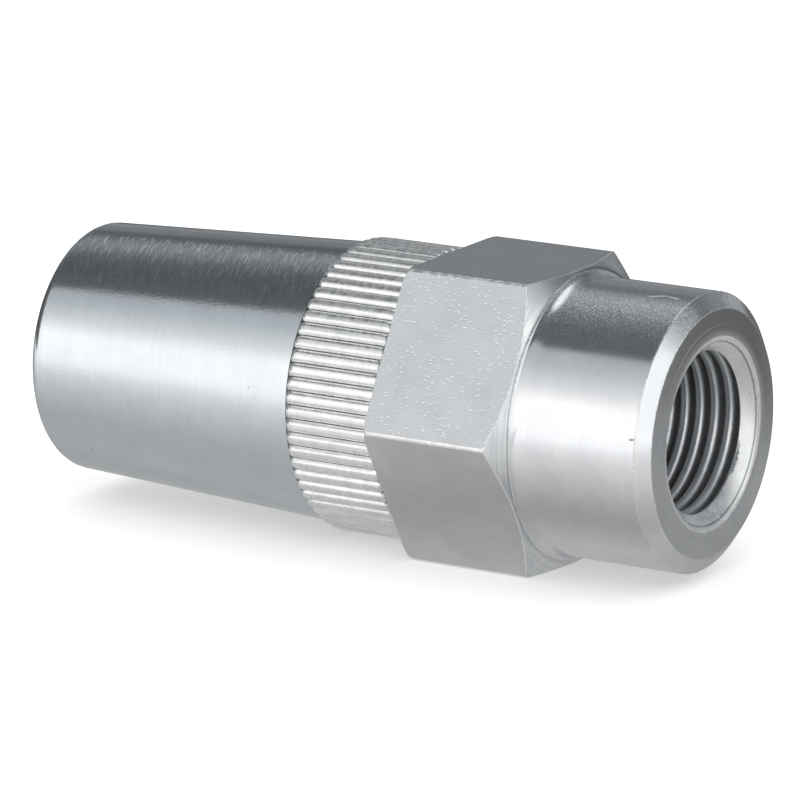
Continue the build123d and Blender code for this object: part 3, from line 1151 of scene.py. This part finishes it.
@dataclass
class NoseSleeve:
    """Tapered nose with its mouth, jaw chamber and knurled band."""

    x_nose: float = -39.2
    x_shoulder: float = -16.15
    nose_radius: float = 6.94
    nose_round: float = 0.65
    cone_rear_radius: float = 7.74
    # How deep the turned piece runs under the knurled band, from what gap before it, and its
    # bevel at the shoulder
    seat_depth: float = 0.18
    seat_gap: float = 0.07
    seat_bevel: float = 0.15
    knurl_length: float = 5.65
    knurl_radius: float = 8.075
    knurl_depth: float = 0.23
    # Share of the depth that the ridges rise to
    knurl_rise: float = 0.985
    # Gap between the band's ends and its neighbours, and the radius at which it closes
    knurl_gap: float = 0.04
    knurl_bore_radius: float = 7.0
    ridges: int = 65
    # Where rows of a ridge lie at both ends, from its end on, as shares of its half length
    rows: tuple[float, ...] = (0.985, 0.95, 0.90, 0.80)
    # Where a ridge runs out at both ends: shares of its half length, height and width
    run_out: tuple[Size, ...] = (
        (1.0, 0.0, 0.55), (0.985, 0.42, 0.66), (0.95, 0.80, 0.86), (0.90, 0.95, 0.96),
    )
    # A ridge's section, with steep flanks and a rounded top: columns from its middle, heights
    section: tuple[tuple[int, float], ...] = ((3, 0.58), (2, 0.92), (1, 0.985), (0, 1.0))
    x_jaw_tip: float = -38.7
    jaw_tip_radius: float = 4.16
    taper_angle: float = 15.0
    mouth_bevel: float = 0.35
    chamber_radius: float = 5.9503
    joint_radius: float = 6.5
    joint_bevel: float = 0.5
    x_thread_end: float = -23.7
    segments: int = 192

    def taper_radius(self, x: float) -> float:
        """Gives the radius of the jaws' taper at a station."""
        return self.jaw_tip_radius + (x - self.x_jaw_tip) * tan(radians(self.taper_angle))

    def cone(self) -> bpy.types.Object:
        """Models the sleeve without its knurl as one turned piece.

        Returns:
            The piece.
        """
        taper_length = (self.chamber_radius - self.jaw_tip_radius) / tan(radians(self.taper_angle))
        x_mouth = self.x_nose + self.mouth_bevel
        x_seat = self.x_shoulder - self.knurl_length - self.seat_gap
        seat = self.cone_rear_radius - self.seat_depth
        turns = [radians(step) for step in range(90, -1, -15)]
        outline = [
            (self.x_nose, self.taper_radius(self.x_nose) + self.mouth_bevel),
            *((self.x_nose + self.nose_round * (1 - sin(turn)),
               self.nose_radius - self.nose_round * (1 - cos(turn))) for turn in turns),
            (x_seat, self.cone_rear_radius - 0.002),
            (x_seat, seat),
            (self.x_shoulder - self.seat_bevel, seat),
            (self.x_shoulder, seat - self.seat_bevel),
            (self.x_shoulder, self.joint_radius + self.joint_bevel),
            (self.x_shoulder - self.joint_bevel, self.joint_radius),
            (self.x_thread_end, self.joint_radius),
            (self.x_thread_end, self.chamber_radius),
            (self.x_jaw_tip + taper_length, self.chamber_radius),
            (x_mouth, self.taper_radius(x_mouth)),
        ]
        part = lathe("nose_cone", outline, self.segments)
        soften(part, 0.05)
        return part

    def knurl(self) -> bpy.types.Object:
        """Models one ridge with its grooves from a grid, and spins copies of it round the axis.

        Returns:
            The knurled band, closed inside the sleeve.
        """
        turn = 2 * pi / self.ridges
        root = self.knurl_radius - self.knurl_depth
        middle = self.x_shoulder - self.knurl_length / 2
        half = self.knurl_length / 2 - self.knurl_gap
        half_width = root * sin(turn / 2)
        column_width = half_width / 4
        near = 0.02
        bpy.ops.object.select_all(action="DESELECT")
        bpy.ops.mesh.primitive_grid_add(
            x_subdivisions=10, y_subdivisions=8, size=2 * MM, location=(middle * MM, 0, root * MM)
        )
        part = name_piece("knurled_band")
        part.scale = (half, half_width, 1)
        settle(part)
        start_edit(part)
        # The rows crowd towards the ends, where the ridge runs out
        for row, spot in enumerate(self.rows, 1):
            for side in (-1, 1):
                old = middle + side * half * (1 - 0.2 * row)
                pick(part, lambda at: abs(at.x - old) < near)
                bpy.ops.transform.translate(value=((middle + side * half * spot - old) * MM, 0, 0))
        for column, height in self.section:
            pick(part, lambda at: abs(abs(at.y) - column * column_width) < near)
            rise = height * self.knurl_depth * self.knurl_rise
            bpy.ops.transform.translate(value=(0, 0, rise * MM))
        # The feet sink to where the next ridge's feet are
        pick(part, lambda at: abs(at.y) > 3.5 * column_width)
        bpy.ops.transform.translate(value=(0, 0, root * (cos(turn / 2) - 1) * MM))
        for spot, height, width in self.run_out:
            pick(
                part,
                lambda at: abs(abs(at.x - middle) - half * spot) < near
                and abs(at.y) < 3.5 * column_width,
            )
            bpy.ops.transform.resize(
                value=(1, width, max(height, 0.001)), center_override=(middle * MM, 0, root * MM)
            )
        bpy.ops.mesh.select_all(action="SELECT")
        bpy.ops.mesh.spin(
            steps=self.ridges - 1, dupli=True, angle=turn * (self.ridges - 1),
            center=(0, 0, 0), axis=(1, 0, 0),
        )
        bpy.ops.mesh.select_all(action="SELECT")
        bpy.ops.mesh.remove_doubles(threshold=0.004 * MM)
        # Both ends are drawn inwards and joined, which closes the band inside the sleeve
        bpy.ops.mesh.select_all(action="DESELECT")
        bpy.ops.mesh.select_mode(type="EDGE")
        bpy.ops.mesh.select_non_manifold(
            extend=False, use_wire=False, use_boundary=True, use_multi_face=False,
            use_non_contiguous=False, use_verts=False,
        )
        shrink = self.knurl_bore_radius / root
        bpy.ops.mesh.extrude_edges_move()
        bpy.ops.transform.resize(value=(1, shrink, shrink), center_override=(0, 0, 0))
        bpy.ops.mesh.bridge_edge_loops()
        end_edit()
        outward(part)
        smooth(part, 50.0)
        return part

    def build(self, finishes: Mapping[str, bpy.types.Material]) -> None:
        """Models the sleeve's pieces and dresses them.

        Args:
            finishes: Materials by name.
        """
        cone = self.cone()
        coat(cone, finishes["sleeve"], finishes["face"])
        # Only the flat end of the nose, without its round
        paint(cone, 1, lambda at, way: way.x < -0.995)
        dress(cone, Body.SLEEVE)
        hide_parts("nose_sleeve")
        knurl = self.knurl()
        coat(knurl, finishes["knurl"])
        dress(knurl, Body.SLEEVE)


@dataclass(frozen=True)
class Coil:
    """A compression spring: its CAD node, the body and joint that work it, and its sizes."""

    node: str
    body: Body
    joint: str
    wire: float
    diameter: float
    travel: float
    held_at_high_x: bool
    turns: int = 5
    sides: int = 10

    def model(self, low: float, high: float) -> bpy.types.Object:
        """Models the spring from its wire's round section.

        Args:
            low: Least x in millimetres.
            high: Greatest x in millimetres.

        Returns:
            The spring.
        """
        ways = [2 * pi * side / self.sides for side in range(self.sides)]
        section = [
            (self.wire / 2 * cos(way), self.diameter / 2 + self.wire / 2 * sin(way)) for way in ways
        ]
        pitch = (high - low - self.wire) / self.turns
        start = low + self.wire / 2
        part = helix_ridge(self.node + "_wire", section, pitch, start, self.turns, 48)
        smooth(part, 60.0)
        return part


@dataclass
class Springs:
    """Main spring in the cylinder and the light spring of the check valve."""

    main: Coil = Coil("main_spring", Body.SPRING_END, "piston_stroke", 0.9, 7.8, 2.8, True)
    check: Coil = Coil("check_spring", Body.PISTON, "check_lift", 0.35, 2.5, 0.8, False)

    def build(self, finishes: Mapping[str, bpy.types.Material]) -> None:
        """Models both springs inside the boxes of their CAD nodes.

        Args:
            finishes: Materials by name.
        """
        for coil in (self.main, self.check):
            low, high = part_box(coil.node)
            part = coil.model(low.x / MM, high.x / MM)
            coat(part, finishes["spring"])
            dress(part, coil.body)
            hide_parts(coil.node)
            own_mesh(part)


@dataclass
class InnerWorks:
    """Nodes of the jaws, the piston and the check valve, whose solids are right as they are."""

    def build(self, finishes: Mapping[str, bpy.types.Material]) -> None:
        """Gives each of these nodes its finish.

        Args:
            finishes: Materials by name.
        """
        dressed = {
            "piston": "steel", "packing_washer": "steel", "valve_seat": "hardened", "check_ball": "ball",
            "jaw_spreader_ring": "spring", "nipple_packing": "packing", "piston_o_ring": "seal",
            "piston_backup_ring": "ptfe",
        }
        dressed.update({f"gripping_jaw_{number}": "jaw" for number in range(1, 5)})
        for node, finish in dressed.items():
            coat(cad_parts[node], finishes[finish])
            LOG.info("node %s: %s", node, finish)


# Studio


@dataclass(frozen=True)
class Studio:
    """White table, light tent with one long soft box in front, and the camera.

    The tent's strips run along the part, so a polished surface shows them as bands: the box in
    front, a dark gap above it and a dimmer wall behind. Its end walls close it along X. In
    reflections the table shows painted levels of its own, with a painted shadow of the part and a
    painted card on it.
    """

    floor_z: float = -8.08
    floor_width: float = 2400.0
    eye: Size = (148.75, -273.81, 81.82)
    right: Size = (0.85275, 0.5223, -0.00481)
    up: Size = (-0.12587, 0.21443, 0.96859)
    lens: float = 274.41
    sensor: float = 36.0
    # Angle above the front horizon, round the X axis, and the strip's brightness
    strips: tuple[Point, ...] = (
        (-180.0, 0.31), (-90.0, 0.48), (-40.0, 0.70), (-15.0, 1.08), (0.0, 1.33), (22.0, 1.35),
        (34.0, 0.95), (52.0, 0.64), (66.5, 0.51), (69.3, 0.125), (90.0, 0.105), (105.0, 0.12),
        (112.0, 0.15), (128.0, 0.29), (138.0, 0.205), (144.0, 0.125), (150.0, 0.12),
        (158.0, 0.23), (166.0, 0.22), (180.0, 0.31),
    )
    coolness: float = 0.07
    # Distance across the table from the part's axis, and the painted level at which polish shows
    # it, shaped in part by a painted shadow of the part, under the sleeve and under the neck
    table_rear: tuple[Point, ...] = (
        (-90.0, 1.28), (-60.0, 1.15), (-35.0, 0.95), (-20.0, 0.74), (-10.0, 0.525), (-8.0, 0.51),
        (-6.3, 0.515), (-5.0, 0.505), (-4.0, 0.487), (-3.0, 0.457), (14.0, 0.42), (30.0, 0.2),
        (70.0, 0.13),
    )
    table_near: tuple[Point, ...] = (
        (-90.0, 1.28), (-60.0, 1.15), (-35.0, 0.95), (-20.0, 0.75), (-13.0, 0.57), (-10.5, 0.485),
        (-9.0, 0.423), (-8.2, 0.412), (-7.2, 0.423), (-6.3, 0.453), (-5.2, 0.492), (-4.4, 0.525),
        (-3.0, 0.51), (0.0, 0.43), (6.0, 0.34), (21.0, 0.42), (36.0, 0.235), (47.0, 0.13),
        (70.0, 0.115),
    )
    # X between which the first goes over into the second
    table_change: Point = (-22.0, -17.0)
    # A painted card on the table before the inlet, a glow that only reflections show: where it
    # fades in along X and Y, and its levels at two places along X
    card_x: Point = (3.0, 16.0)
    card_y: Point = (-1.0, -5.0)
    card_levels: tuple[Point, Point] = ((16.0, 0.76), (75.0, 1.25))
    # The tent's end walls, a lit one at the inlet and an unlit one at the nose: the share of X
    # in a ray's way where the wall starts and where it is full, and its level
    walls: tuple[Size, ...] = ((0.66, 0.9, 1.22), (-0.72, -0.88, 0.12))
    # A small lamp above, which the neck's root shows as a bright spot: its direction, how far
    # off that it ends and is full, and its level
    lamp_way: Size = (-0.06, 0.40, 0.91)
    lamp_edge: Point = (0.34, 0.2)
    lamp_level: float = 1.3
    # Light on all that is matt, and what the table adds for the camera to stay white
    even_level: float = 0.98
    table_glow: float = 0.32

    def world(self) -> None:
        """Makes the tent: strips for polish, even light for the rest, white for the camera."""
        made = bpy.data.worlds.new("light_tent")
        bpy.context.scene.world = made
        made.use_nodes = True
        made.node_tree.nodes.clear()
        add = partial(add_node, made.node_tree)
        way = add("TexCoord").outputs["Generated"]
        x, y, z = add("SeparateXYZ", {0: way}).outputs
        front = add("Math", {0: y, 1: -1.0}, operation="MULTIPLY")
        angle = add("Math", {0: z, 1: front}, operation="ARCTAN2")
        share = add("Math", {0: angle, 1: 1 / (2 * pi), 2: 0.5}, operation="MULTIPLY_ADD")
        tent = add("ValToRGB", {0: share})
        set_ramp(tent, [((at + 180) / 360, level) for at, level in self.strips], self.coolness)
        for start, full, level in self.walls:
            wall = add("MapRange", {"Value": x, "From Min": start, "From Max": full}, **EASED)
            tent = add("Mix", {0: wall, 6: tent, 7: grey(level)}, **RGBA)
        lamp_way = Vector(self.lamp_way).normalized()
        off = add("VectorMath", {0: way, 1: lamp_way}, operation="DISTANCE")
        start, full = self.lamp_edge
        lamp = add("MapRange", {"Value": off, "From Min": start, "From Max": full}, **EASED)
        tent = add("Mix", {0: lamp, 6: tent, 7: grey(self.lamp_level)}, **RGBA)
        bands = add("Background", {0: tent, 1: 1.0})
        even = add("Background", {0: linear("#ffffff"), 1: self.even_level})
        backdrop = add("Background", {0: linear("#ffffff"), 1: 1.0})
        path = add("LightPath").outputs
        chosen = add("MixShader", {0: path["Is Glossy Ray"], 1: even, 2: bands})
        seen = add("MixShader", {0: path["Is Camera Ray"], 1: chosen, 2: backdrop})
        add("OutputWorld", {0: seen})

    def floor(self) -> None:
        """Makes the white table and its finish: white laminate that stays pure and matt to the camera
        and the light, with painted levels, shadow and card for reflections.
        """
        bpy.ops.object.select_all(action="DESELECT")
        bpy.ops.mesh.primitive_plane_add(
            size=self.floor_width * MM, location=(0, 0, self.floor_z * MM)
        )
        table = name_piece("table")
        settle(table)
        made, add, place = start_finish("white_laminate_with_painted_reflections")
        x, y, _ = add("SeparateXYZ", {0: place}).outputs
        # Painted reflection: the table glows at graded levels for glossy rays, with the part's painted
        # shadow
        shown = []
        for stops in (self.table_rear, self.table_near):
            low, high = stops[0][0], stops[-1][0]
            peak = max(level for _, level in stops)
            share = add("MapRange", {"Value": y, "From Min": low, "From Max": high})
            ramp = add("ValToRGB", {0: share})
            set_ramp(ramp, [((at - low) / (high - low), level / peak) for at, level in stops])
            shown.append(add("Emission", {0: ramp, 1: peak}))
        start, full = self.table_change
        change = add("MapRange", {"Value": x, "From Min": start, "From Max": full}, **EASED)
        reflected = add("MixShader", {0: change, 1: shown[0], 2: shown[1]})
        # The painted card, a glow that only glossy rays see
        (near, dim), (far, lit) = self.card_levels
        glow = {"Value": x, "From Min": near, "From Max": far, "To Min": dim, "To Max": lit}
        card = add("Emission", {0: linear("#ffffff"), 1: add("MapRange", glow)})
        for side, (start, full) in ((x, self.card_x), (y, self.card_y)):
            fade = add("MapRange", {"Value": side, "From Min": start, "From Max": full}, **EASED)
            card = add("MixShader", {0: fade, 1: reflected, 2: card})
        matt = add("BsdfDiffuse", {0: linear("#fbfbfb")})
        path = add("LightPath").outputs
        table_look = add("MixShader", {0: path["Is Glossy Ray"], 1: matt, 2: card})
        glow = add("Emission", {0: grey(self.table_glow), 1: path["Is Camera Ray"]})
        add("OutputMaterial", {0: add("AddShader", {0: table_look, 1: glow})})
        coat(table, made)

    def camera(self) -> None:
        """Sets the camera at the photograph's place and angle."""
        data = bpy.data.cameras.new("camera")
        data.sensor_width = self.sensor
        data.sensor_height = self.sensor
        data.lens = self.lens
        data.clip_start = 0.01
        data.clip_end = 10.0
        camera = bpy.data.objects.new("camera", data)
        bpy.context.scene.collection.objects.link(camera)
        right = Vector(self.right).normalized()
        up = Vector(self.up).normalized()
        turn = Matrix((right, up, right.cross(up))).transposed().to_4x4()
        camera.matrix_world = Matrix.Translation(Vector(self.eye) * MM) @ turn
        bpy.context.scene.camera = camera

    def build(self) -> None:
        """Makes the whole studio."""
        self.world()
        self.floor()
        self.camera()
        bpy.context.scene.view_settings.view_transform = "Standard"


def make_finishes() -> dict[str, bpy.types.Material]:
    """Makes every finish once.

    Returns:
        Materials by the names that the sub-assemblies use.
    """
    finishes = {
        # Mirror bands, with a frosted strip of painted glints on the upper side
        "neck": TurnedZinc(
            "bright_zinc_turned_neck", colour="#e4e6e8", patch_colour="#dddfe2", radius=7.55,
            roughness=0.11, upper_glint_bloom=0.72, marks=(
                Mark(-2.7, 10.55, 0.55, 0.05, 20.0), Mark(-1.75, 10.6, 0.5, 0.05, -12.0),
                Mark(-0.78, 1.3, 0.16, 0.05, 8.0, 0.02, bright=False),
            ), scores=(-0.635,),
        ),
        # Even satin grey without bands, since it is flat
        "face": TurnedZinc(
            "bright_zinc_faced_end", colour="#dcdfe1", roughness=0.26, ring_depth=0.0009,
            grain_depth=0.0007, bloom=0.02,
        ),
        # Frosted crests over grooves darkened with painted shade
        "bore": TurnedZinc(
            "bright_zinc_cut_thread", colour="#e6e8ea", speck_and_shade_colour="#878a8d", roughness=0.26,
            ring_depth=0.0003, grain_depth=0.003, bloom=0.5, speck_share=0.3,
            grooves=(4.5, 4.66, -0.9),
        ),
        # Nearly white and matt, with a dark burr where the thread starts
        "sink": TurnedZinc(
            "bright_zinc_countersink", colour="#f4f6f7", patch_colour="#e9ebec",
            speck_and_shade_colour="#74777a", radius=4.65, roughness=0.24, ring_depth=0.0008,
            grain_depth=0.003, bloom=0.66, speck_share=0.3,
            marks=(Mark(-0.80, -12.1, 0.16, 1.1, 0.0, 0.015, bright=False),), scores=(-0.135,),
        ),
        # Bright, with plain rings of a coarser cut
        "shoulder": TurnedZinc(
            "bright_zinc_turned_shoulder", colour="#eaebeb", roughness=0.2, ring_depth=0.003,
            ring_tint=0.9, grain_depth=0.0006, bloom=0.05,
        ),
        # Soft grey with points of light
        "flat": DrawnZinc("bright_zinc_drawn_flats"),
        # A broken white line: worn plate and a painted highlight along the edge
        "edge": WornZinc(
            "bright_zinc_worn_edge_and_highlight", colour="#f4f5f4", shade_colour="#dfe1e0", lump_height=0.014,
            bloom=0.35,
        ),
        # A fainter line, as a turned edge is cleaner; partly a painted highlight too
        "arris": WornZinc(
            "bright_zinc_turned_arris", colour="#eaecec", shade_colour="#d4d7d8", lump_size=0.32,
            lump_height=0.014, bloom=0.14,
        ),
        # Cool mirror bands, crossed above by the belt's strokes, bright as painted glints
        "sleeve": TurnedZinc(
            "bright_zinc_turned_sleeve", colour="#dae0e4", patch_colour="#d5dbdf", radius=7.3,
            roughness=0.11, ring_depth=0.001, ring_tint=0.5, grain_depth=0.004, strokes=0.56,
            upper_glint_bloom=0.03, upper=(
                (0.45, 0.0), (0.70, 0.10), (0.84, 0.20), (0.88, 0.38), (0.92, 0.78), (0.954, 1.0),
                (0.968, 0.95), (0.977, 0.3), (0.984, 0.0), (1.0, 0.08),
            ),
        ),
        # Nearly white ridges with grooves greyed by painted shade
        "knurl": WornZinc(
            "bright_zinc_knurled", colour="#f4f5f6", shade_colour="#e6e8e7", roughness=0.19,
            lump_height=0.006, bloom=0.2, grooves=(7.91, 7.86),
        ),
        # Grey steels of the inside: satin where turned, a mirror on the ball, nearly black jaws
        "steel": PlainMetal("fine_turned_steel", "#b9babb"),
        "hardened": PlainMetal("ground_hardened_steel", "#a2a3a5", 0.2),
        "ball": PlainMetal("polished_bearing_steel", "#d8d9db", 0.06, 0.0),
        "spring": PlainMetal("drawn_spring_wire", "#9c9da0", 0.3),
        "jaw": PlainMetal("oil_blackened_steel", "#6b6a69", 0.32),
        # Black satin rubber, and the waxy white of the backup ring
        "packing": SoftRing("moulded_nitrile_packing", "#1d1c1b"),
        "seal": SoftRing("moulded_nitrile_seal", "#171717"),
        "ptfe": SoftRing("turned_ptfe", "#e6e5e0", 0.4),
    }
    return {name: finish.build() for name, finish in finishes.items()}


def write_sizes() -> None:
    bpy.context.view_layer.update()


def main() -> None:
    """Builds the studio and every sub-assembly in order."""
    logging.basicConfig(level=logging.INFO, format="%(message)s")
    Studio().build()
    finishes = make_finishes()
    AdapterBody().build(finishes)
    NoseSleeve().build(finishes)
    Springs().build(finishes)
    InnerWorks().build(finishes)
    write_sizes()


if __name__ == "__main__":
    main()
